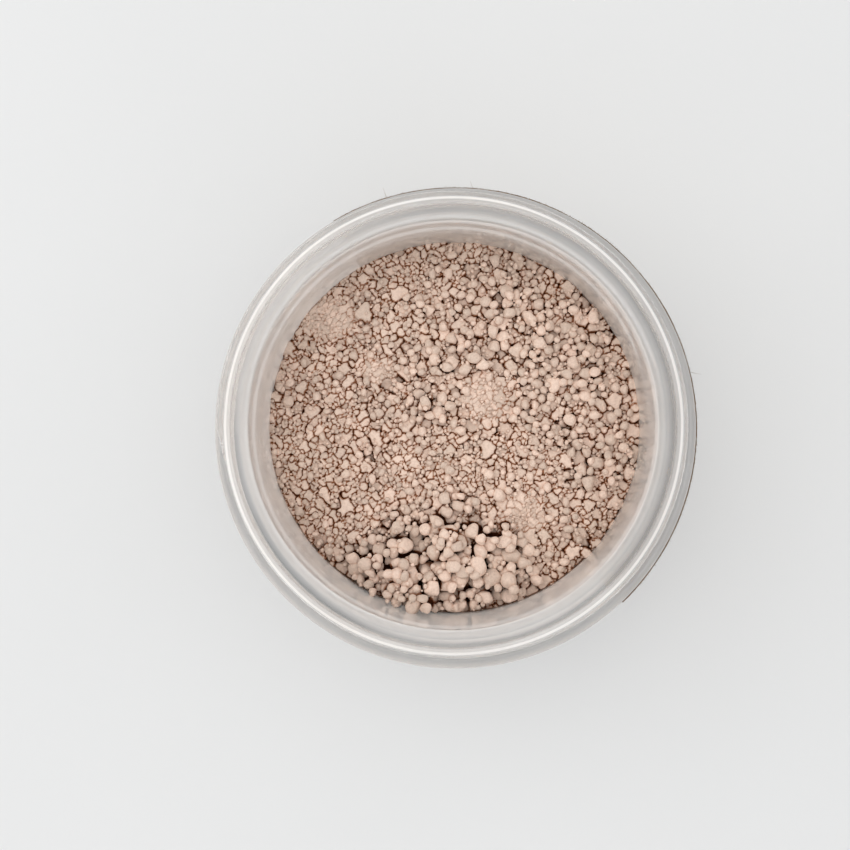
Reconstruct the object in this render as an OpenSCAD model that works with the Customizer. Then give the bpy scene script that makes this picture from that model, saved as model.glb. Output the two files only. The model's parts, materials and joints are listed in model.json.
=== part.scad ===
// Open glass screw-neck jar, part filled with granular powder, with a paper label.
// The jar stands on z = 0 with its axis on Z. The front of the jar is towards -Y.

/* [Jar] */
// Height of the jar from the table to the rim
jar_h = 74; // [70:1:90]
// Outer radius of the body
body_r = 38.3; // [38:0.1:39]
// Height of the neck above the shoulder
neck_h = 12.5; // [12:0.5:14]
// Outer radius of the neck between the thread ridges
neck_r = 33.4; // [33:0.1:33.8]
// Radius of the straight bore of the mouth
mouth_r = 29.6; // [29:0.1:30]
// Thickness of the body wall
wall = 3.9; // [3.5:0.1:4.5]
// Thickness of the glass at the edge of the floor
floor_t = 5; // [4:0.5:6]

/* [Rim] */
// Rounding of the outer edge of the rim
rim_out_r = 1.4; // [1:0.1:1.6]
// Rounding of the inner edge of the rim
rim_in_r = 1.2; // [0.8:0.1:1.4]

/* [Thread] */
// Distance between neighbouring ridges of the thread
thread_pitch = 4.23; // [4:0.01:4.5]
// Number of turns of the thread
thread_turns = 1.5; // [1:0.25:1.5]
// Height of the ridge above the neck
thread_h = 1.35; // [1:0.05:1.5]

/* [Label] */
// Thickness of the paper
label_t = 0.3; // [0.2:0.05:0.4]
// Lower edge of the label above the table
label_low = 14; // [10:1:20]
// Angle that the label covers round the body
label_angle = 166; // [120:1:200]

/* [Powder] */
// Depth of the middle of the powder's surface below the rim
powder_depth = 15.5; // [15:0.5:20]
// Slope of the powder's surface, down towards the front
powder_slope = 1.5; // [0:0.5:2]
// Radius of the largest loose lumps
lump_r = 1.6; // [1:0.1:1.7]

/* [Hidden] */
$fn = 96;

// Body and shoulder
heel_r = 4;
shoulder_round = 2.2;
neck_fillet = 0.8;
shoulder_z = jar_h - neck_h;
push_up_r = 28;
push_up_h = 1.2;
inner_r = body_r - wall;
inner_corner_r = 6;
floor_rise = 1;

// The mouth's bore is straight, then widens a little, then flares into the body
bore_low = jar_h - 12;
throat_r = mouth_r + 0.2;
throat_low = jar_h - 16.5;
flare_h = 6;

// Thread, which starts at thread_start and winds down clockwise as seen from above
thread_top = jar_h - 2.9;
thread_start = -166;
thread_root_half = 1.3;
thread_crest_half = 0.45;
thread_bury = 0.3;
thread_fade = 14;
thread_step = 6;

// Label, which starts at the right front and runs round the right to the back
label_start = -46;
label_high = shoulder_z - shoulder_round - 0.2;

// Powder
side_gap = 0.1;
surface_z = jar_h - powder_depth;
powder_r = throat_r - side_gap;

// Points of an arc about (cx, cz) from angle a0 to angle a1
function arc(cx, cz, r, a0, a1, steps = 8) =
    [for (i = [0:steps]) let (a = a0 + (a1 - a0) * i / steps) [cx + r * cos(a), cz + r * sin(a)]];

// A smooth step between two points of the flare, as a half cosine
function flare(r0, z0, r1, z1, steps = 10) =
    [for (i = [1:steps]) let (t = i / steps)
        [r0 + (r1 - r0) * (1 - cos(180 * t)) / 2, z0 + (z1 - z0) * t]];

// A repeatable spread number between 0 and 1 for granule i
function spread(i, seed) = let (v = sin(i * 78.233 + seed * 37.719) * 4375.85) v - floor(v);

// Height of the sloping powder surface at y
function bed_z(y) = surface_z + y * tan(powder_slope);

// Outside of the jar, from the middle of the base to the inner edge of the rim's flat
function outer_outline() = concat(
    [[0, push_up_h], [push_up_r - 2, push_up_h], [push_up_r, 0]],
    arc(body_r - heel_r, heel_r, heel_r, -90, 0),
    arc(body_r - shoulder_round, shoulder_z - shoulder_round, shoulder_round, 0, 90),
    arc(neck_r + neck_fillet, shoulder_z + neck_fillet, neck_fillet, 270, 180),
    arc(neck_r - rim_out_r, jar_h - rim_out_r, rim_out_r, 0, 90)
);

// Inside of the jar, from the rim's flat to the middle of the floor
function inner_outline() = concat(
    arc(mouth_r + rim_in_r, jar_h - rim_in_r, rim_in_r, 90, 180),
    [[mouth_r, bore_low], [throat_r, throat_low]],
    flare(throat_r, throat_low, inner_r, throat_low - flare_h),
    arc(inner_r - inner_corner_r, floor_t + inner_corner_r, inner_corner_r, 0, -90),
    [[0, floor_t + floor_rise]]
);

// Inside of the jar below the mouth, drawn in by a gap, for the powder to fill
function fill_outline(gap) = concat(
    [[0, floor_t + floor_rise]],
    arc(inner_r - inner_corner_r, floor_t + inner_corner_r, inner_corner_r - gap, -90, 0),
    [[inner_r - gap, throat_low - flare_h]],
    flare(inner_r - gap, throat_low - flare_h, throat_r - gap, throat_low),
    [[throat_r - gap, jar_h], [0, jar_h]]
);

// One cross-section of the thread at angle a from its start, fading to nothing at both ends
function thread_section(a, total) =
    let (
        fade = min(1, a / thread_fade, (total - a) / thread_fade),
        reach = -thread_bury + (thread_h + thread_bury) * max(fade, 0.05),
        z = thread_top - thread_pitch * a / 360,
        turn = thread_start - a,
        corners = [
            [-thread_bury, -thread_root_half],
            [reach, -thread_crest_half],
            [reach, thread_crest_half],
            [-thread_bury, thread_root_half]
        ]
    )
    [for (c = corners) [(neck_r + c[0]) * cos(turn), (neck_r + c[0]) * sin(turn), z + c[1]]];

module screw_thread() {
    total = 360 * thread_turns;
    count = ceil(total / thread_step);
    points = [for (i = [0:count]) each thread_section(total * i / count, total)];
    sides = [for (i = [0:count - 1]) for (k = [0:3])
        [4 * i + k, 4 * (i + 1) + k, 4 * (i + 1) + (k + 1) % 4, 4 * i + (k + 1) % 4]];
    ends = [[0, 1, 2, 3], [for (k = [3:-1:0]) 4 * count + k]];
    polyhedron(points = points, faces = concat(sides, ends), convexity = 8);
}

module jar_glass() {
    color([0.86, 0.9, 0.89, 0.4])
    union() {
        rotate_extrude()
            polygon(concat(outer_outline(), inner_outline()));
        screw_thread();
    }
}

module kraft_label() {
    color([0.66, 0.53, 0.4])
    rotate([0, 0, label_start])
        rotate_extrude(angle = label_angle)
            translate([body_r, label_low])
                square([label_t, label_high - label_low]);
}

module powder_bed() {
    cut = 2 * body_r;
    color([0.78, 0.67, 0.59])
    difference() {
        rotate_extrude()
            polygon(fill_outline(side_gap));
        translate([0, 0, surface_z])
            rotate([powder_slope, 0, 0])
                translate([-cut / 2, -cut / 2, 0])
                    cube([cut, cut, cut]);
    }
}

// A ball that rests on the sloping powder
module granule(x, y, r) {
    translate([x, y, bed_z(y) + r / cos(powder_slope)])
        sphere(r = r, $fn = 24);
}

// Loose lumps across the front, in rows that wander, each row nearer to the wall
module coarse_granules() {
    pitch = 2 * lump_r + 0.1;
    color([0.8, 0.69, 0.6])
    for (row = [0:4], i = [0:10]) {
        r = lump_r * (0.55 + 0.45 * spread(i + 20 * row, 1));
        free = (pitch - 2 * r) / 2;
        x = -18 + (i + (row % 2) / 2) * pitch + free * (2 * spread(i + 20 * row, 2) - 1);
        y = -13 - row * pitch + free * (2 * spread(i + 20 * row, 3) - 1);
        in_zone = norm([(x + 2) / 17, (y + 21) / 9]) < 1;
        if (in_zone && norm([x, y]) + r < powder_r - 0.1) granule(x, y, r);
    }
}

// Smaller lumps on a sunflower spiral over the rest of the surface
module medium_granules() {
    golden = 137.508;
    count = 70;
    color([0.75, 0.64, 0.56])
    for (i = [1:count]) {
        rho = 28 * sqrt(i / count);
        x = rho * cos(golden * i);
        y = rho * sin(golden * i);
        r = 0.55 + 0.45 * spread(i, 2);
        in_coarse = norm([(x + 2) / 19, (y + 21) / 11.5]) < 1;
        if (!in_coarse) granule(x, y, r);
    }
}

jar_glass();
kraft_label();
powder_bed();
coarse_granules();
medium_granules();
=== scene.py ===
import json
import math

import bmesh
import bpy
import numpy as np
from mathutils import Matrix, Vector


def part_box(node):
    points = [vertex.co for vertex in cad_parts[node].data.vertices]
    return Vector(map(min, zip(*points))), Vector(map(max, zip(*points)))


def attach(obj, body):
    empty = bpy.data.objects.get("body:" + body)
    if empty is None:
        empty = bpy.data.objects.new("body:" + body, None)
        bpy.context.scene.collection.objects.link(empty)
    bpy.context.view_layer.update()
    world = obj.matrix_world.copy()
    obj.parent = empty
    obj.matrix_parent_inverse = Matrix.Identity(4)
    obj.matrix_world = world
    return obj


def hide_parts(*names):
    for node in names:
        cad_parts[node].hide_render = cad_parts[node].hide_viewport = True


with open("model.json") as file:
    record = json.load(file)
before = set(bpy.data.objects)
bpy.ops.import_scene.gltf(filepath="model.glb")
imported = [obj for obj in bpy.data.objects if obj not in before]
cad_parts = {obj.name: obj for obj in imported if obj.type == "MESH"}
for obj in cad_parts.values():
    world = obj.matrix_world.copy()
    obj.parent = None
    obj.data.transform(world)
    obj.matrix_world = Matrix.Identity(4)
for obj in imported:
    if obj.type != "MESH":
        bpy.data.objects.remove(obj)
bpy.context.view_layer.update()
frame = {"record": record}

MM = 0.001
RNG = np.random.default_rng(7)

# ---------------------------------------------------------------- sizes from the frame, in mm
JAR_LOW, JAR_HIGH = (np.array(c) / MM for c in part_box("jar_glass"))
LABEL_LOW, LABEL_HIGH = (np.array(c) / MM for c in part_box("kraft_label"))
BED_LOW, BED_HIGH = (np.array(c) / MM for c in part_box("powder_bed"))
MOUNTS = {m["name"]: m for m in frame["record"]["mounts"]}

JAR_H = JAR_HIGH[2]
BODY_R = JAR_HIGH[0]
MOUTH_R = MOUNTS["mouth"]["dims"]["r_mm"]
BORE_LOW = MOUNTS["mouth"]["pos_m"][2] / MM - MOUNTS["mouth"]["dims"]["length_mm"] / 2
LABEL_T = LABEL_HIGH[0] - BODY_R

# Sizes that repeat part.scad, in mm
NECK_H = 12.5
NECK_R = 33.4
RIM_OUT_R = 1.4
RIM_IN_R = 1.2
HEEL_R = 4.0
SHOULDER_ROUND = 2.2
NECK_FILLET = 0.8
PUSH_UP_R = 28.0
PUSH_UP_H = 1.2
SIDE_GAP = 0.1
INNER_R = BED_HIGH[0] + SIDE_GAP
INNER_CORNER_R = 6.0
FLOOR_T = 5.0
FLOOR_RISE = 1.0
THROAT_R = MOUTH_R + 0.2
THROAT_LOW = JAR_H - 16.5
FLARE_H = 6.0
SHOULDER_Z = JAR_H - NECK_H
THREAD_PITCH = 4.23
THREAD_TURNS = 1.5
THREAD_H = 1.35
THREAD_TOP = JAR_H - 2.9
THREAD_START = -166.0
THREAD_FADE = 14.0
THREAD_HALF = 1.3
LABEL_START = -46.0
LABEL_ANGLE = 166.0
POWDER_SLOPE = math.radians(1.5)
SURFACE_Z = JAR_H - 15.5
BED_R = THROAT_R - SIDE_GAP


# ---------------------------------------------------------------- mesh helpers
def make_mesh(name, verts, faces, material, smooth=True):
    """A mesh object from vertices given in mm."""
    mesh = bpy.data.meshes.new(name)
    verts = np.asarray(verts, dtype=np.float32) * MM
    mesh.from_pydata(verts.tolist(), [], faces if isinstance(faces, list) else faces.tolist())
    mesh.update()
    mesh.polygons.foreach_set("use_smooth", [smooth] * len(mesh.polygons))
    mesh.materials.append(material)
    obj = bpy.data.objects.new(name, mesh)
    bpy.context.scene.collection.objects.link(obj)
    return obj


def point_values(obj, name, values):
    """Stores one number per vertex for the material to read."""
    layer = obj.data.attributes.new(name, "FLOAT", "POINT")
    layer.data.foreach_set("value", np.asarray(values, dtype=np.float32))


def outward(obj):
    """Turns every face outward."""
    bm = bmesh.new()
    bm.from_mesh(obj.data)
    bmesh.ops.recalc_face_normals(bm, faces=bm.faces)
    bm.to_mesh(obj.data)
    bm.free()


def close_below(obj, z):
    """Carries an open sheet's border down to a level and closes it there."""
    bm = bmesh.new()
    bm.from_mesh(obj.data)
    bmesh.ops.remove_doubles(bm, verts=bm.verts[:], dist=1e-7)
    border = [edge for edge in bm.edges if edge.is_boundary]
    made = bmesh.ops.extrude_edge_only(bm, edges=border)["geom"]
    for vertex in (part for part in made if isinstance(part, bmesh.types.BMVert)):
        vertex.co.z = z * MM
    bmesh.ops.holes_fill(bm, edges=[edge for edge in bm.edges if edge.is_boundary], sides=0)
    bmesh.ops.recalc_face_normals(bm, faces=bm.faces[:])
    bm.to_mesh(obj.data)
    bm.free()


def arc(cx, cz, r, a0, a1, steps):
    """Points of an arc about (cx, cz) from angle a0 to angle a1, in degrees."""
    angles = np.radians(np.linspace(a0, a1, steps + 1))
    return [(cx + r * math.cos(a), cz + r * math.sin(a)) for a in angles]


def straight(p, q, steps):
    """Points after p on the way to q."""
    shares = np.linspace(0, 1, steps + 1)[1:]
    return [(p[0] + (q[0] - p[0]) * t, p[1] + (q[1] - p[1]) * t) for t in shares]


def flare(r0, z0, r1, z1, steps):
    """Points of a smooth step between two places, as a half cosine."""
    ts = np.linspace(0, 1, steps + 1)[1:]
    return [(r0 + (r1 - r0) * (1 - math.cos(math.pi * t)) / 2, z0 + (z1 - z0) * t) for t in ts]


def ring_faces(rows, columns):
    """Quads between closed rings: vertex (row, column) is row * columns + column."""
    i, j = np.meshgrid(np.arange(rows - 1), np.arange(columns), indexing="ij")
    k = (j + 1) % columns
    below, above = i * columns, (i + 1) * columns
    quads = np.stack([below + j, below + k, above + k, above + j], -1)
    return quads.reshape(-1, 4).tolist()


def noise_wave(angle, seed, terms=7, lowest=1, highest=14):
    """A smooth repeatable wave round the jar, about -1 to 1."""
    rng = np.random.default_rng(seed)
    counts = rng.integers(lowest, highest + 1, terms)
    phases = rng.uniform(0, 2 * math.pi, terms)
    sizes = rng.uniform(0.4, 1, terms) / np.sqrt(terms)
    return sum(s * np.sin(c * angle + p) for c, p, s in zip(counts, phases, sizes))


# ---------------------------------------------------------------- materials
WHITE = (1.0, 1.0, 1.0)
POWDER_PALE = (0.98, 0.77, 0.63)
# Painted shade: the dark colour and the browning ramp painted into the powder's gaps and cracks
POWDER_SHADE_DARK = (0.045, 0.014, 0.004)
CRACK_SHADE_BROWNS = [(0.15, WHITE), (0.5, (0.85, 0.5, 0.32)), (0.85, (0.5, 0.22, 0.11))]
KRAFT_BROWNS = [(0.3, (0.60, 0.47, 0.34)), (0.55, (0.75, 0.62, 0.48)), (0.8, (0.84, 0.73, 0.59))]
FLECK_SHARES = [(0.64, (0.0,) * 3), (0.7, (0.35,) * 3)]
FLOOR_GREYS = [(0.3, (0.755, 0.755, 0.745)), (0.7, (0.785, 0.785, 0.775))]


def new_material(name):
    material = bpy.data.materials.new(name)
    material.use_nodes = True
    tree = material.node_tree
    return material, tree, tree.nodes["Principled BSDF"]


def add(tree, kind, **values):
    node = tree.nodes.new(kind)
    for key, value in values.items():
        setattr(node, key, value)
    return node


def coordinates(tree):
    return add(tree, "ShaderNodeTexCoord").outputs["Object"]


def noise(tree, scale, detail=4.0, roughness=0.55):
    node = add(tree, "ShaderNodeTexNoise")
    node.inputs["Scale"].default_value = scale
    node.inputs["Detail"].default_value = detail
    node.inputs["Roughness"].default_value = roughness
    tree.links.new(coordinates(tree), node.inputs["Vector"])
    return node.outputs["Fac"]


def ramp(tree, source, stops):
    """A colour ramp with (position, colour) stops."""
    node = add(tree, "ShaderNodeValToRGB")
    elements = node.color_ramp.elements
    while len(elements) < len(stops):
        elements.new(0.5)
    for element, (position, colour) in zip(elements, stops):
        element.position = position
        element.color = (*colour, 1)
    tree.links.new(source, node.inputs["Fac"])
    return node.outputs["Color"]


def mix_colour(tree, factor, a, b, blend="MIX"):
    node = add(tree, "ShaderNodeMix", data_type="RGBA", blend_type=blend)
    for socket, value in (("Factor", factor), ("A", a), ("B", b)):
        target = next(s for s in node.inputs if s.name == socket and s.enabled)
        if hasattr(value, "is_linked"):
            tree.links.new(value, target)
        else:
            target.default_value = value if socket == "Factor" else (*value, 1)
    return next(s for s in node.outputs if s.enabled)


def maths(tree, operation, a, b=0.0, clamp=False):
    node = add(tree, "ShaderNodeMath", operation=operation, use_clamp=clamp)
    for target, value in zip(node.inputs, (a, b)):
        if hasattr(value, "is_linked"):
            tree.links.new(value, target)
        else:
            target.default_value = value
    return node.outputs["Value"]


def value_of(tree, name):
    return add(tree, "ShaderNodeAttribute", attribute_name=name).outputs["Fac"]


def bump(tree, shader, height, strength, distance):
    node = add(tree, "ShaderNodeBump")
    node.inputs["Strength"].default_value = strength
    node.inputs["Distance"].default_value = distance
    tree.links.new(height, node.inputs["Height"])
    tree.links.new(node.outputs["Normal"], shader.inputs["Normal"])


def glass_material():
    """Clear glass. One attribute says how much dust covers it and also carries the painted highlight on the
    rim's outer edge; "packed" says where the powder lies against it.
    """
    material, tree, shader = new_material("jar_glass")
    patches = ramp(tree, noise(tree, 90, 5), [(0.3, (0.86,) * 3), (0.7, WHITE)])
    dust_film_and_highlight = maths(tree, "MULTIPLY", value_of(tree, "dust_film_and_highlight"), patches, clamp=True)
    clear = (0.99, 0.988, 0.98)
    faint = ramp(tree, noise(tree, 40, 3), [(0.35, (0.98, 0.93, 0.87)), (0.7, (0.995, 0.965, 0.93))])
    packed = ramp(tree, noise(tree, 900, 5), [(0.35, (0.70, 0.58, 0.49)), (0.6, (0.88, 0.76, 0.67))])
    dusty = mix_colour(tree, value_of(tree, "packed"), faint, packed)
    tree.links.new(mix_colour(tree, dust_film_and_highlight, clear, dusty), shader.inputs["Base Color"])
    tree.links.new(maths(tree, "SUBTRACT", 1.0, dust_film_and_highlight, clamp=True), shader.inputs["Transmission Weight"])
    tree.links.new(maths(tree, "MULTIPLY", dust_film_and_highlight, 0.3), shader.inputs["Roughness"])
    shader.inputs["IOR"].default_value = 1.5
    bump(tree, shader, noise(tree, 55, 1), 0.12, 0.0004)
    return material


def powder_material():
    """Dusty matt powder. The tone attribute varies it from grain to grain, and a second attribute paints
    shade between the grains, darker and browner the deeper it lies.
    """
    material, tree, shader = new_material("powder_grains")
    fine = noise(tree, 2600, 5, 0.65)
    broad = noise(tree, 60, 3)
    rosy = tuple(c * f for c, f in zip(POWDER_PALE, (0.97, 0.93, 0.94)))
    dull = tuple(0.76 * c for c in POWDER_PALE)
    toned = mix_colour(tree, value_of(tree, "tone"), dull, mix_colour(tree, broad, rosy, POWDER_PALE))
    speck = ramp(tree, fine, [(0.3, (0.74, 0.71, 0.69)), (0.62, WHITE)])
    dusty = mix_colour(tree, 0.75, toned, speck, "MULTIPLY")
    # Painted shade: the gaps and cracks between grains are painted darker and browner
    gap = value_of(tree, "gap")
    shade_tint = ramp(tree, gap, CRACK_SHADE_BROWNS)
    colour = mix_colour(tree, 1.0, mix_colour(tree, gap, dusty, POWDER_SHADE_DARK), shade_tint, "MULTIPLY")
    tree.links.new(colour, shader.inputs["Base Color"])
    tree.links.new(maths(tree, "ADD", 0.86, maths(tree, "MULTIPLY", fine, 0.14)), shader.inputs["Roughness"])
    shader.inputs["Specular IOR Level"].default_value = 0.04
    bump(tree, shader, fine, 0.55, 0.00012)
    return material


def kraft_material():
    """Uncoated kraft paper with flecks. Its top edge is painted dark brown as shade, and its side against
    the glass is painted paler as light reaching it through the glass.
    """
    material, tree, shader = new_material("kraft_paper")
    fibre = noise(tree, 1400, 6, 0.7)
    fleck = noise(tree, 1100, 2)
    base = ramp(tree, fibre, KRAFT_BROWNS)
    flecked = mix_colour(tree, ramp(tree, fleck, FLECK_SHARES), base, (0.30, 0.20, 0.12))
    # Painted light: the side against the glass is painted paler, standing in for light that reaches it
    # through the glass
    lit_inner_face = mix_colour(tree, value_of(tree, "back"), flecked, (0.92, 0.82, 0.69))
    # Painted shade: the top edge is painted dark brown, standing in for the shade on the paper's cut edge
    edge_shaded = mix_colour(tree, value_of(tree, "edge"), lit_inner_face, (0.20, 0.125, 0.065))
    tree.links.new(edge_shaded, shader.inputs["Base Color"])
    tree.links.new(maths(tree, "ADD", 0.75, maths(tree, "MULTIPLY", fibre, 0.2)), shader.inputs["Roughness"])
    shader.inputs["Specular IOR Level"].default_value = 0.2
    shader.inputs["Transmission Weight"].default_value = 0.3
    shader.inputs["IOR"].default_value = 1.1
    bump(tree, shader, fibre, 0.5, 0.0002)
    return material


def floor_material():
    """A plain pale plaster surface."""
    material, tree, shader = new_material("floor_plaster")
    broad = noise(tree, 4, 3)
    tree.links.new(ramp(tree, broad, FLOOR_GREYS), shader.inputs["Base Color"])
    tree.links.new(maths(tree, "ADD", 0.8, maths(tree, "MULTIPLY", broad, 0.15)), shader.inputs["Roughness"])
    bump(tree, shader, noise(tree, 700, 4), 0.08, 0.0002)
    return material


CLAY = powder_material()
GLASS = glass_material()
KRAFT = kraft_material()


# ---------------------------------------------------------------- glass jar
# The outline stops this far from the axis, where a flat disc closes it
POLE_R = 0.02

# How much of the inner wall the dust covers, from the floor up to the rim
FILM_LEVELS = [FLOOR_T, SURFACE_Z - 0.6, SURFACE_Z + 0.3, BORE_LOW, JAR_H - 2.5, JAR_H - 0.8, JAR_H]
FILM_AMOUNTS = [0.97, 0.97, 0.68, 0.58, 0.52, 0.46, 0.4]

# The painted highlight: a near-white dusty line on the rim's outer edge that stands in for the rim's
# highlight, and half its width
RIM_HIGHLIGHT_R = 32.8
RIM_HIGHLIGHT_HALF = 0.25

# How much steeper than a plain wedge the sides of the thread are
THREAD_FLANK = 1.55


def haze_and_highlight(r, z):
    """How much of the outside a layer of dust covers: most on the shoulder and the rim's outer edge, where a
    near-white line is a painted highlight.
    """
    if z > JAR_H - RIM_OUT_R and r > NECK_R - RIM_OUT_R:
        # Painted highlight: the line on the rim's outer edge is nearly all white dust
        return 0.9 if abs(r - RIM_HIGHLIGHT_R) < RIM_HIGHLIGHT_HALF else 0.45
    if z > SHOULDER_Z - SHOULDER_ROUND:
        return 0.42 if z < SHOULDER_Z + 1.0 else 0.2
    return 0.06


def thread_height(angle, z):
    """How far the thread stands out of the neck at an angle in degrees and a height."""
    total = 360 * THREAD_TURNS
    first = (THREAD_START - angle) % 360
    height = np.zeros_like(z)
    for lap in range(math.ceil(THREAD_TURNS)):
        along = first + 360 * lap
        fade = np.clip(np.minimum(along, total - along) / THREAD_FADE, 0, 1)
        middle = THREAD_TOP - THREAD_PITCH * along / 360
        off = np.clip(np.abs(z - middle) / THREAD_HALF, 0, 1)
        ridge = np.clip((1 - off) * THREAD_FLANK, 0, 1)
        height = np.maximum(height, THREAD_H * fade * (3 * ridge**2 - 2 * ridge**3))
    return height


def jar_outline():
    """Outline from the middle of the base, up the outside, over the rim and down the inside."""
    neck_top = JAR_H - RIM_OUT_R
    outside = [(POLE_R, PUSH_UP_H), (PUSH_UP_R - 2, PUSH_UP_H)]
    outside += [(PUSH_UP_R - 1, PUSH_UP_H / 2), (PUSH_UP_R, 0)]
    outside += arc(BODY_R - HEEL_R, HEEL_R, HEEL_R, -90, 0, 10)
    outside += straight(outside[-1], (BODY_R, SHOULDER_Z - SHOULDER_ROUND), 6)
    outside += arc(BODY_R - SHOULDER_ROUND, SHOULDER_Z - SHOULDER_ROUND, SHOULDER_ROUND, 0, 90, 12)[1:]
    outside += arc(NECK_R + NECK_FILLET, SHOULDER_Z + NECK_FILLET, NECK_FILLET, 270, 180, 6)
    outside += straight(outside[-1], (NECK_R, neck_top), 60)
    outside += arc(NECK_R - RIM_OUT_R, neck_top, RIM_OUT_R, 0, 90, 12)[1:]
    inside = arc(MOUTH_R + RIM_IN_R, JAR_H - RIM_IN_R, RIM_IN_R, 90, 180, 12)
    inside += straight(inside[-1], (MOUTH_R, BORE_LOW), 6)
    inside += straight(inside[-1], (THROAT_R, THROAT_LOW), 3)
    inside += flare(THROAT_R, THROAT_LOW, INNER_R, THROAT_LOW - FLARE_H, 12)
    inside += straight(inside[-1], (INNER_R, FLOOR_T + INNER_CORNER_R), 6)
    inside += arc(INNER_R - INNER_CORNER_R, FLOOR_T + INNER_CORNER_R, INNER_CORNER_R, 0, -90, 10)[1:]
    inside += [(POLE_R, FLOOR_T + FLOOR_RISE)]
    return outside, inside


def build_jar():
    """The jar as one turned outline, with the thread raised on its neck."""
    outside, inside = jar_outline()
    outline = np.array(outside + inside)
    columns = 384
    angle = np.linspace(0, 360, columns, endpoint=False)
    r, z = (np.repeat(outline[:, k:k + 1], columns, axis=1) for k in (0, 1))
    angles = np.repeat(angle[None, :], len(outline), axis=0)
    on_neck = (np.abs(r - NECK_R) < 0.01) & (z > SHOULDER_Z)
    r = r + np.where(on_neck, thread_height(angles, z), 0)
    turn = np.radians(angles)
    verts = np.stack([r * np.cos(turn), r * np.sin(turn), z], -1).reshape(-1, 3)
    faces = ring_faces(len(outline), columns)
    top_pole = [(len(outline) - 1) * columns + j for j in range(columns)]
    faces += [list(range(columns)), top_pole[::-1]]
    jar = make_mesh("glass_jar", verts, faces, GLASS)
    outward(jar)
    dust_film_and_highlight = np.zeros(len(outline))
    first_inside = len(outside)
    levels = outline[first_inside:, 1]
    dust_film_and_highlight[first_inside:] = np.interp(levels, FILM_LEVELS, FILM_AMOUNTS)
    dust_film_and_highlight[:first_inside] = [haze_and_highlight(r, z) for r, z in outline[:first_inside]]
    packed = np.zeros(len(outline))
    packed[first_inside:] = np.interp(levels, [SURFACE_Z - 1.0, SURFACE_Z - 0.2], [1.0, 0.0])
    point_values(jar, "dust_film_and_highlight", np.repeat(dust_film_and_highlight, columns))
    point_values(jar, "packed", np.repeat(packed, columns))
    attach(jar, "root")
    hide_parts("jar_glass")


# ---------------------------------------------------------------- kraft label
def build_label():
    """A curved sheet with a slightly torn top edge."""
    columns, rows = 520, 40
    start, sweep = math.radians(LABEL_START), math.radians(LABEL_ANGLE)
    angle = np.linspace(start, start + sweep, columns)
    low, high = LABEL_LOW[2], LABEL_HIGH[2]
    top = high - 0.1 + 0.08 * noise_wave(angle, 3, 9, 5, 60) + 0.05 * noise_wave(angle, 4, 9, 80, 220)
    top = np.minimum(top, high)
    t = np.linspace(0, 1, rows)
    z = low + (top[None, :] - low) * t[:, None]
    rough = 0.02 * RNG.standard_normal((rows, columns))
    outer = BODY_R + LABEL_T + np.minimum(rough, 0)
    inner = np.full_like(outer, BODY_R - 0.015)
    sheets = [np.stack([r * np.cos(angle), r * np.sin(angle), z], -1) for r in (inner, outer)]
    verts = np.concatenate([sheet.reshape(-1, 3) for sheet in sheets])
    size = rows * columns
    faces = []
    for i in range(rows - 1):
        for j in range(columns - 1):
            a, d = i * columns + j, (i + 1) * columns + j
            b, c = a + 1, d + 1
            faces.append([a, d, c, b])
            faces.append([size + a, size + b, size + c, size + d])
    for j in range(columns - 1):
        top_row = (rows - 1) * columns
        faces.append([j, j + 1, size + j + 1, size + j])
        faces.append([top_row + j, size + top_row + j, size + top_row + j + 1, top_row + j + 1])
    for i in range(rows - 1):
        for j in (0, columns - 1):
            a, b = i * columns + j, (i + 1) * columns + j
            faces.append([a, size + a, size + b, b])
    label = make_mesh("kraft_paper_label", verts, faces, KRAFT, smooth=False)
    outward(label)
    # Painted shade on the top two rows of both sheets, and painted light over the whole inner sheet
    edge = np.zeros((2, rows, columns))
    edge[:, -1, :] = 1.0
    edge[:, -2, :] = 0.35
    back = np.zeros((2, rows, columns))
    back[0] = 1.0
    point_values(label, "edge", edge.reshape(-1))
    point_values(label, "back", back.reshape(-1))
    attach(label, "root")
    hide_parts("kraft_label")


# Where the longest fibres stick out, in degrees round from +X
LONG_FIBRES = (106, 85, 13)
FIBRE_COUNT = 900


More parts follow.
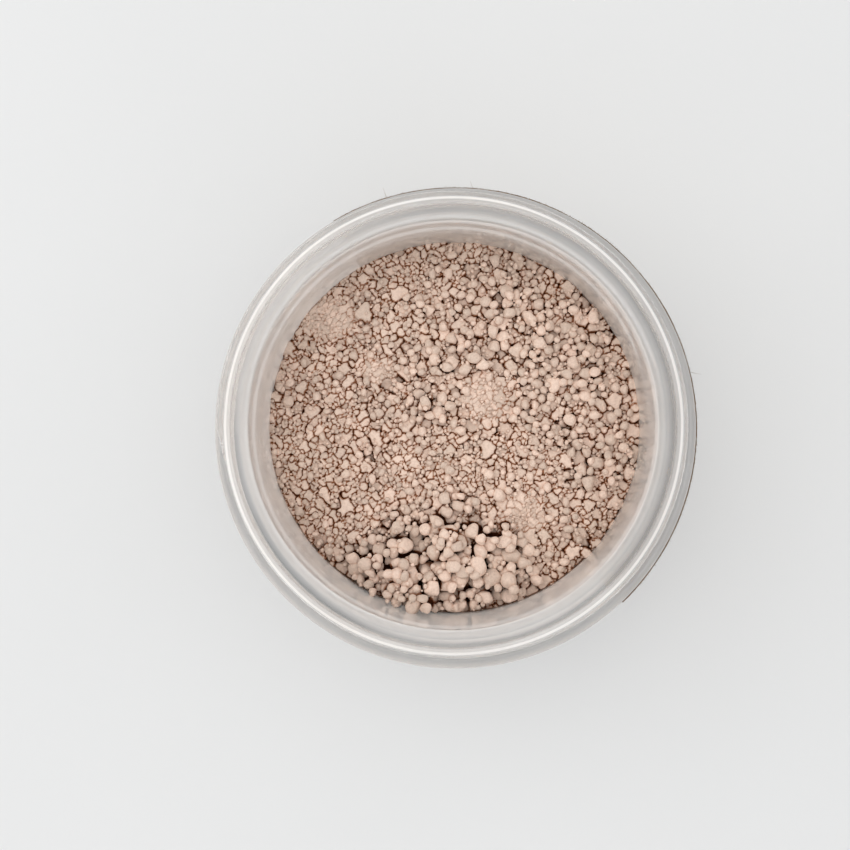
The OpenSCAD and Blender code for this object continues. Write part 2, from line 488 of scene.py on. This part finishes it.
def build_fibres():
    """Loose paper fibres that stand out of the label's top edge."""
    rng = np.random.default_rng(21)
    start, sweep = math.radians(LABEL_START), math.radians(LABEL_ANGLE)
    root_r, root_z = BODY_R + LABEL_T / 2, LABEL_HIGH[2] - 0.2
    verts, faces, sides, steps = [], [], 5, 6
    for k in range(FIBRE_COUNT):
        long_one = k < len(LONG_FIBRES)
        a = math.radians(LONG_FIBRES[k]) if long_one else start + sweep * rng.uniform(0.02, 0.99)
        length = rng.uniform(1.2, 1.7) if long_one else rng.uniform(0.15, 0.42)
        radius = 0.035 if long_one else 0.025
        base = Vector((math.cos(a) * root_r, math.sin(a) * root_r, root_z))
        out = Vector((
            math.cos(a + rng.uniform(-0.7, 0.7)), math.sin(a + rng.uniform(-0.7, 0.7)), rng.uniform(0, 0.5)))
        curl = Vector(rng.uniform(-0.4, 0.4, 3))
        first = len(verts)
        for i in range(steps + 1):
            t = i / steps
            centre = base + out.normalized() * length * t + curl * length * t * t * 0.5
            r = radius * (1 - 0.75 * t)
            for s in range(sides):
                turn = 2 * math.pi * s / sides
                side = out.orthogonal().normalized()
                up = out.normalized().cross(side)
                verts.append(tuple(centre + r * (math.cos(turn) * side + math.sin(turn) * up)))
        for i in range(steps):
            for s in range(sides):
                a0 = first + i * sides + s
                a1 = first + i * sides + (s + 1) % sides
                faces.append([a0, a1, a1 + sides, a0 + sides])
        faces.append([first + s for s in range(sides)][::-1])
        faces.append([first + steps * sides + s for s in range(sides)])
    fibres = make_mesh("label_edge_fibres", verts, faces, KRAFT)
    # Painted shade: the fibres take most of the edge's painted dark brown
    point_values(fibres, "edge", np.full(len(verts), 0.8))
    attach(fibres, "root")


# ---------------------------------------------------------------- powder
# The powder's height field: square cells, SPAN of them each way, centred on the axis
CELL = 0.1
SPAN = int(2 * BED_R / CELL) + 3
AXIS = (np.arange(SPAN) - SPAN // 2) * CELL
GX, GY = np.meshgrid(AXIS, AXIS, indexing="ij")

# Depth under the smoothed level where the painted shade between grains starts, and the depth over which it
# darkens
SHADE_START = 0.4
SHADE_DEPTH = 0.8

# Where the powder mass ends under the crumbly surface, and where that surface is closed below
MASS_TOP = SURFACE_Z - 3.0
SURFACE_LOW = SURFACE_Z - 3.6

# A level that means the glass
WALL_LEVEL = 1e3

# How near crumbs may start to each other and how far each reaches, in their own radii
CRUMB_SPACING = 0.75
CRUMB_REACH = 2.2

# How deep a loose grain sinks, in its radius, and how far each way it is stretched
GRAIN_SINK = 0.42
GRAIN_STRETCH = (1.22, 1.22, 1.0)

# Least and greatest radius of the crumbs in the powder's top, how many are tried, and the coarseness they
# need
CRUMB_SIZES = [(0.95, 1.35, 700, 0.42), (0.62, 0.95, 3200, 0.25), (0.42, 0.62, 8000, 0.1),
               (0.28, 0.42, 15000, -0.2), (0.19, 0.28, 22000, -0.5)]

# Least and greatest radius of the loose grains, how many there are, and the coarseness they need
GRAIN_SIZES = [(1.35, 1.8, 16, 0.95), (1.0, 1.35, 46, 0.85), (0.7, 1.0, 170, 0.5), (0.45, 0.7, 420, 0.25),
               (0.3, 0.45, 600, 0.12), (0.19, 0.3, 900, 0.0)]


def bump_at(x, y, cx, cy, rx, ry=None):
    """A smooth hill of height 1 at (cx, cy)."""
    ry = ry or rx
    return np.exp(-(((x - cx) / rx) ** 2 + ((y - cy) / ry) ** 2))


def clump(x, y):
    """Near 1 on the soft flat clumps of pressed powder, 0 elsewhere."""
    edge = 0.35 * np.sin(1.7 * x + 0.6 * y) + 0.3 * np.sin(2.3 * y - 0.9 * x)
    places = [(-20, 17.5, 4.0, 2.6), (5.5, 4.5, 3.2, 3.6), (11, -14, 3.4, 2.4), (-12, 9, 2.2, 1.6)]
    reach = [1.5 - np.hypot((x - cx) / rx, (y - cy) / ry) + 0.3 * edge for cx, cy, rx, ry in places]
    return np.clip(np.max(reach, axis=0) * 1.6, 0, 1)


def surface(x, y):
    """The powder's level under its grains: a slope down to the front with low mounds and hollows."""
    level = SURFACE_Z + y * math.tan(POWDER_SLOPE) - 0.9
    level = level + 0.8 * bump_at(x, y, 4, 6, 11, 8) + 0.5 * bump_at(x, y, -18, 16, 9, 7)
    level = level - 1.1 * bump_at(x, y, 0, -24, 13, 5) + 0.35 * np.sin(x * 0.35 + 1) * np.sin(y * 0.31)
    return level + 0.5 * clump(x, y)


def coarseness(x, y):
    """From 0 where the grains are fine to 1 where they are coarse."""
    front = 1.3 * bump_at(x, y, -2, -23.5, 15, 6.0)
    tongue = 0.5 * bump_at(x, y, 3, -14.5, 9, 4)
    back_right = 0.42 * bump_at(x, y, 12, 13, 16, 15)
    right = 0.3 * bump_at(x, y, 22, -1, 7, 12)
    middle = 0.32 * bump_at(x, y, -3, 6, 9, 5)
    return np.clip(0.24 + front + tongue + back_right + right + middle, 0, 1) * (1 - 0.75 * clump(x, y))


def grain_plan():
    """Positions and radii of the grains, coarse ones first, from the density of each zone."""
    rng = np.random.default_rng(11)
    grains = []
    for small, large, count, needed in GRAIN_SIZES:
        made = 0
        while made < count:
            r = rng.uniform(small, large)
            rho = (BED_R - r - 0.05) * math.sqrt(rng.uniform())
            a = rng.uniform(0, 2 * math.pi)
            x, y = rho * math.cos(a), rho * math.sin(a)
            c = coarseness(x, y)
            floor_chance = 0.0 if needed > 0.8 else 0.03
            chance = np.clip((c - needed) / 0.25 + 0.4, floor_chance, 1) if needed > 0.2 else 1.15 - 0.75 * c
            if rng.uniform() < chance:
                grains.append((x, y, r))
                made += 1
    return grains


def cell_at(x):
    """The row or column of the height field that holds a coordinate."""
    return int(round(x / CELL)) + SPAN // 2


def cells_round(x, y, w):
    """The square of cells that reaches w cells each way from a place."""
    i, j = cell_at(x), cell_at(y)
    return slice(max(i - w, 0), i + w + 1), slice(max(j - w, 0), j + w + 1)


def crumb_chance(needed, x, y):
    """How often a crumb of a size is taken at a place: coarse ones only where it is coarse."""
    return np.clip((coarseness(x, y) - needed) / 0.3 + 0.3, 0.03, 1)


def mosaic():
    """Packed crumbs of many sizes: which crumb each cell of the height field is in, and how deep in it."""
    rng = np.random.default_rng(17)
    wx = GX + 0.16 * np.sin(2.1 * GY + 1.3 * np.sin(0.7 * GX)) + 0.07 * np.sin(5.3 * GY + 2.2 * GX)
    wy = GY + 0.16 * np.sin(2.4 * GX + 1.1 * np.sin(0.8 * GY)) + 0.07 * np.sin(4.7 * GX - 1.9 * GY)
    first, second = np.full(GX.shape, 9.0), np.full(GX.shape, 9.0)
    owner = np.zeros(GX.shape, dtype=int)
    radii = [1e3]
    for low, high, tries, needed in CRUMB_SIZES:
        for x, y in rng.uniform(-BED_R, BED_R, (tries, 2)):
            i, j = cell_at(x), cell_at(y)
            r = rng.uniform(low, high)
            crowded = first[i, j] < 1 + CRUMB_SPACING * r / radii[owner[i, j]]
            if crowded or rng.uniform() > crumb_chance(needed, x, y):
                continue
            patch = cells_round(x, y, int(2.8 * r / CELL) + 2)
            turn, stretch = rng.uniform(0, math.pi), rng.uniform(0.8, 1.25)
            u = (wx[patch] - x) * math.cos(turn) + (wy[patch] - y) * math.sin(turn)
            v = (wy[patch] - y) * math.cos(turn) - (wx[patch] - x) * math.sin(turn)
            d = np.hypot(u / stretch, v * stretch) / r
            closer = d < np.minimum(first[patch], CRUMB_REACH)
            second[patch] = np.where(closer, first[patch], np.minimum(second[patch], d))
            owner[patch] = np.where(closer, len(radii), owner[patch])
            first[patch] = np.where(closer, d, first[patch])
            radii.append(r)
    return owner, np.clip((second - first) / 0.6, 0, 1), np.array(radii)


def crumbs():
    """The powder's top: its level, the painted shade in its cracks and the tone of its crumbs."""
    owner, depth, radii = mosaic()
    rng = np.random.default_rng(19)
    radii[0] = 0.2
    size = radii[owner]
    soft = 1 - 0.55 * clump(GX, GY)
    lift = (rng.normal(0, 0.38, len(radii)) * radii)[owner]
    dome = np.sqrt(1 - (1 - depth) ** 2) - 1
    level = surface(GX, GY) + 0.5 + (lift + 1.35 * size * dome) * soft
    # Painted shade in the cracks between crumbs, weaker on the soft clumps
    painted_crack_shade = np.clip(1.6 - depth * 2.7, 0, 1) * soft
    return level, painted_crack_shade, rng.uniform(0.1, 1, len(radii))[owner]


def settle(grains, level):
    """Drops each grain in the lowest of a few nearby places, and sinks it a little into what it lands on."""
    rng = np.random.default_rng(5)
    level = level.copy()
    level[np.hypot(GX, GY) > BED_R] = WALL_LEVEL
    placed = []
    for x, y, r in grains:
        best = None
        reach = r * (1.6 if r > 0.7 else 2.5)
        for _ in range(5):
            px, py = x + rng.uniform(-reach, reach), y + rng.uniform(-reach, reach)
            if math.hypot(px, py) > BED_R - r - 0.02:
                continue
            patch = cells_round(px, py, int(r * 0.8 / CELL) + 1)
            d2 = (GX[patch] - px) ** 2 + (GY[patch] - py) ** 2
            near = d2 < (0.8 * r) ** 2
            if not near.any():
                continue
            rest = (level[patch][near] + np.sqrt(r * r - d2[near])).max()
            if best is None or rest < best[0]:
                best = (rest, px, py)
        if best is None:
            continue
        rest, px, py = best
        z = rest - GRAIN_SINK * r
        patch = cells_round(px, py, int(r / CELL) + 2)
        d2 = (GX[patch] - px) ** 2 + (GY[patch] - py) ** 2
        cap = np.where(d2 < r * r, z + np.sqrt(np.maximum(r * r - d2, 0)) * 0.92, -WALL_LEVEL)
        level[patch] = np.maximum(level[patch], cap)
        placed.append((px, py, z, r))
    return np.array(placed), level


def unit_ball(level):
    """Vertices and triangles of a ball of radius 1."""
    bm = bmesh.new()
    bmesh.ops.create_icosphere(bm, subdivisions=level, radius=1)
    verts = np.array([v.co[:] for v in bm.verts])
    faces = np.array([[v.index for v in f.verts] for f in bm.faces])
    bm.free()
    return verts, faces


def lump_shapes(count, detail, rng):
    """Rounded lumps with a few flattened sides, as dried clay breaks, about 1 in radius."""
    verts, faces = unit_ball(detail)
    stretch = rng.uniform(0.76, 1.24, (count, 1, 3))
    shapes = verts[None, :, :] * stretch
    flats, ripples = 8, 5
    normals = rng.standard_normal((count, flats, 3))
    normals /= np.linalg.norm(normals, axis=2, keepdims=True)
    depth = rng.uniform(0.54, 0.88, (count, flats))
    for k in range(flats):
        reach = np.einsum("cvx,cx->cv", shapes, normals[:, k])
        cut = np.where(reach > depth[:, k:k + 1], depth[:, k:k + 1] / np.maximum(reach, 1e-6), 1)
        shapes = shapes * (0.12 + 0.88 * cut)[:, :, None]
    waves = rng.standard_normal((count, ripples, 3)) * 3.2
    phase = rng.uniform(0, 6.28, (count, ripples))
    for k in range(ripples):
        wave = np.sin(np.einsum("cvx,cx->cv", shapes, waves[:, k]) + phase[:, k:k + 1])
        shapes = shapes * (1 + 0.028 * wave)[:, :, None]
    return shapes, faces


def grain_group(name, grains, detail, level, seed):
    """One piece made of many separate lumps."""
    rng = np.random.default_rng(seed)
    shapes, faces = lump_shapes(len(grains), detail, rng)
    centre, r = grains[:, None, :3], grains[:, None, 3:4]
    verts = shapes * r * GRAIN_STRETCH + centre
    count = shapes.shape[1]
    all_faces = (faces[None, :, :] + (np.arange(len(grains)) * count)[:, None, None]).reshape(-1, 3)
    flat = verts.reshape(-1, 3)
    rho = np.hypot(flat[:, 0], flat[:, 1])
    inside = np.minimum(1, (THROAT_R - 0.03) / np.maximum(rho, 1e-6))
    flat[:, :2] *= inside[:, None]
    piece = make_mesh(name, flat, all_faces, CLAY)
    # Painted shade: each lump is painted darker where it lies deep under the powder's smoothed level
    point_values(piece, "gap", gap_between(level, flat[:, 0], flat[:, 1], flat[:, 2]))
    point_values(piece, "tone", np.repeat(rng.uniform(0, 1, len(grains)), count))
    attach(piece, "root")
    return piece


def smooth_field(field, passes):
    """Blurs a field by averaging with its neighbours."""
    for _ in range(passes):
        field = (field + np.roll(field, 1, 0) + np.roll(field, -1, 0)
                 + np.roll(field, 1, 1) + np.roll(field, -1, 1)) / 5
    return field


def gap_between(shade, x, y, z):
    """Painted shade at a point: deeper under the powder's smoothed level is darker."""
    i = np.clip(np.round(x / CELL).astype(int) + SPAN // 2, 0, SPAN - 1)
    j = np.clip(np.round(y / CELL).astype(int) + SPAN // 2, 0, SPAN - 1)
    return np.clip((shade[i, j] - z - SHADE_START) / SHADE_DEPTH, 0, 0.9)


def build_bed_top(crumb_level, painted_crack_shade, tone, shade):
    """The crumbly top of the powder, between and under its separate grains."""
    pitch = 0.17
    limit = THROAT_R - 0.02
    count = int(2 * (limit + pitch) / pitch)
    line = (np.arange(count) - (count - 1) / 2) * pitch
    x, y = (a.ravel() for a in np.meshgrid(line, line, indexing="ij"))
    rho = np.hypot(x, y)
    inside = rho < limit + pitch
    pulled_in = np.minimum(1, limit / np.maximum(rho, pitch))
    x, y = x * pulled_in, y * pulled_in
    z = map_level(crumb_level, x, y)
    keep = inside.reshape(count, count)
    quads = [[i * count + j, (i + 1) * count + j, (i + 1) * count + j + 1, i * count + j + 1]
             for i in range(count - 1) for j in range(count - 1) if keep[i:i + 2, j:j + 2].all()]
    used = np.unique(np.array(quads))
    renumber = np.full(count * count, -1)
    renumber[used] = np.arange(len(used))
    verts = np.stack([x[used], y[used], z[used]], -1)
    top = make_mesh("powder_surface", verts, renumber[np.array(quads)], CLAY)
    # Painted shade: the top is painted darker in its deep hollows and in its cracks
    deep = gap_between(shade, verts[:, 0], verts[:, 1], verts[:, 2])
    point_values(top, "gap", np.maximum(deep, map_level(painted_crack_shade, verts[:, 0], verts[:, 1])))
    point_values(top, "tone", map_level(tone, verts[:, 0], verts[:, 1]))
    close_below(top, SURFACE_LOW)
    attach(top, "root")


def map_level(level, x, y):
    """The level at points between the height field's cells."""
    u, v = x / CELL + SPAN // 2, y / CELL + SPAN // 2
    i, j = np.floor(u).astype(int), np.floor(v).astype(int)
    fu, fv = u - i, v - j
    i, j = np.clip(i, 0, SPAN - 2), np.clip(j, 0, SPAN - 2)
    near = level[i, j] * (1 - fv) + level[i, j + 1] * fv
    far = level[i + 1, j] * (1 - fv) + level[i + 1, j + 1] * fv
    return near * (1 - fu) + far * fu


def build_bed():
    """The mass of powder under its surface, against the glass."""
    columns = 200
    angle = np.linspace(0, 2 * math.pi, columns, endpoint=False)
    chamfer, pole_r = 0.6, 0.05
    outline = [(pole_r, MASS_TOP), (BED_R - chamfer, MASS_TOP), (BED_R, MASS_TOP + chamfer)]
    outline += flare(BED_R, THROAT_LOW - 1.5, INNER_R - SIDE_GAP, THROAT_LOW - FLARE_H, 12)
    outline += [(INNER_R - SIDE_GAP, FLOOR_T + INNER_CORNER_R)]
    corner_r, corner_z = INNER_R - INNER_CORNER_R, FLOOR_T + INNER_CORNER_R
    outline += arc(corner_r, corner_z, INNER_CORNER_R - SIDE_GAP, 0, -90, 8)[1:]
    outline += [(pole_r, FLOOR_T + FLOOR_RISE + SIDE_GAP)]
    rings = [np.stack([r * np.cos(angle), r * np.sin(angle), np.full(columns, z)], -1) for r, z in outline]
    verts = np.array(rings).reshape(-1, 3)
    faces = ring_faces(len(outline), columns)
    faces += [list(range(columns)), [(len(outline) - 1) * columns + j for j in range(columns)][::-1]]
    bed = make_mesh("powder_mass", verts, faces, CLAY)
    outward(bed)
    point_values(bed, "gap", np.zeros(len(verts)))
    point_values(bed, "tone", np.full(len(verts), 0.6))
    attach(bed, "root")
    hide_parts("powder_bed")


def build_powder():
    """The powder's mass and surface, and its loose lumps in groups by size."""
    crumb_level, painted_crack_shade, tone = crumbs()
    placed, level = settle(grain_plan(), crumb_level)
    shade = smooth_field(np.where(level > WALL_LEVEL / 2, SURFACE_Z, level), 14)
    build_bed()
    build_bed_top(crumb_level, painted_crack_shade, tone, shade)
    radius, coarse_r, medium_r = placed[:, 3], 0.85, 0.45
    coarse = grain_group("coarse_lumps", placed[radius > coarse_r], 3, shade, 31)
    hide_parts("coarse_granules")
    middle = placed[(radius <= coarse_r) & (radius > medium_r)]
    half = len(middle) // 2
    first = grain_group("medium_lumps_1", middle[:half], 2, shade, 32)
    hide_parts("medium_granules")
    grain_group("medium_lumps_2", middle[half:], 2, shade, 33)
    fine = placed[radius <= medium_r]
    parts = 5
    for k in range(parts):
        grain_group(f"fine_grains_{k + 1}", fine[k::parts], 1, shade, 40 + k)


# ---------------------------------------------------------------- stage, light and camera
def build_stage():
    """A wide flat floor."""
    size, steps = 1600.0, 8
    line = np.linspace(-size, size, steps + 1)
    verts = [(x, y, 0.0) for y in line for x in line]
    corners = [j * (steps + 1) + i for j in range(steps) for i in range(steps)]
    faces = [[a, a + 1, a + steps + 2, a + steps + 1] for a in corners]
    floor = make_mesh("floor", verts, faces, floor_material())


def area_light(name, place, aim, size, power, colour):
    """A soft rectangular light at a place, turned to face a point."""
    light = bpy.data.lights.new(name, "AREA")
    light.shape = "RECTANGLE"
    light.size, light.size_y = size
    light.energy = power
    light.color = colour
    obj = bpy.data.objects.new(name, light)
    bpy.context.scene.collection.objects.link(obj)
    obj.location = place
    obj.rotation_euler = (Vector(aim) - Vector(place)).to_track_quat("-Z", "Y").to_euler()


def build_lights():
    """Even light from the room, a window at the left and a weak softbox overhead."""
    world = bpy.data.worlds.new("soft_room")
    bpy.context.scene.world = world
    world.use_nodes = True
    background = world.node_tree.nodes["Background"]
    background.inputs["Color"].default_value = (0.97, 0.98, 1.0, 1)
    background.inputs["Strength"].default_value = 0.88
    rim = (0, 0, JAR_H * MM)
    area_light("window", (-0.5, 0.2, 0.8), rim, (0.9, 0.9), 1.93, (1.0, 0.985, 0.96))
    area_light("softbox", (0.1, 0.1, 0.95), rim, (0.8, 0.8), 0.99, (0.97, 0.985, 1.0))
    bpy.context.scene.view_settings.view_transform = "Standard"


# All as shares of the frame's width: the focal length, the neck's radius, and from the
# frame's middle the places of the rim's centre and of the point straight below the camera
FOCAL = 1.06
RIM_SHARE = 0.2741
AIM = (0.0305, 0.0012)
PLUMB = (0.05, -0.03)


def build_camera():
    """Looks down on the jar from a hand's height above the rim, very slightly tilted."""
    camera = bpy.data.cameras.new("camera")
    camera.sensor_width = 36
    camera.lens = FOCAL * camera.sensor_width
    camera.clip_start = 0.005
    obj = bpy.data.objects.new("camera", camera)
    bpy.context.scene.collection.objects.link(obj)
    plumb = Vector((PLUMB[0], PLUMB[1], -FOCAL)).normalized()
    turn = plumb.rotation_difference(Vector((0, 0, -1))).to_matrix()
    distance = FOCAL * NECK_R * MM / RIM_SHARE
    ray = Vector((AIM[0] / FOCAL, AIM[1] / FOCAL, -1))
    place = Vector((0, 0, JAR_H * MM)) - distance * (turn @ ray)
    obj.matrix_world = Matrix.Translation(place) @ turn.to_4x4()
    bpy.context.scene.camera = obj


build_camera()
build_jar()
build_label()
build_fibres()
build_powder()
build_stage()
build_lights()
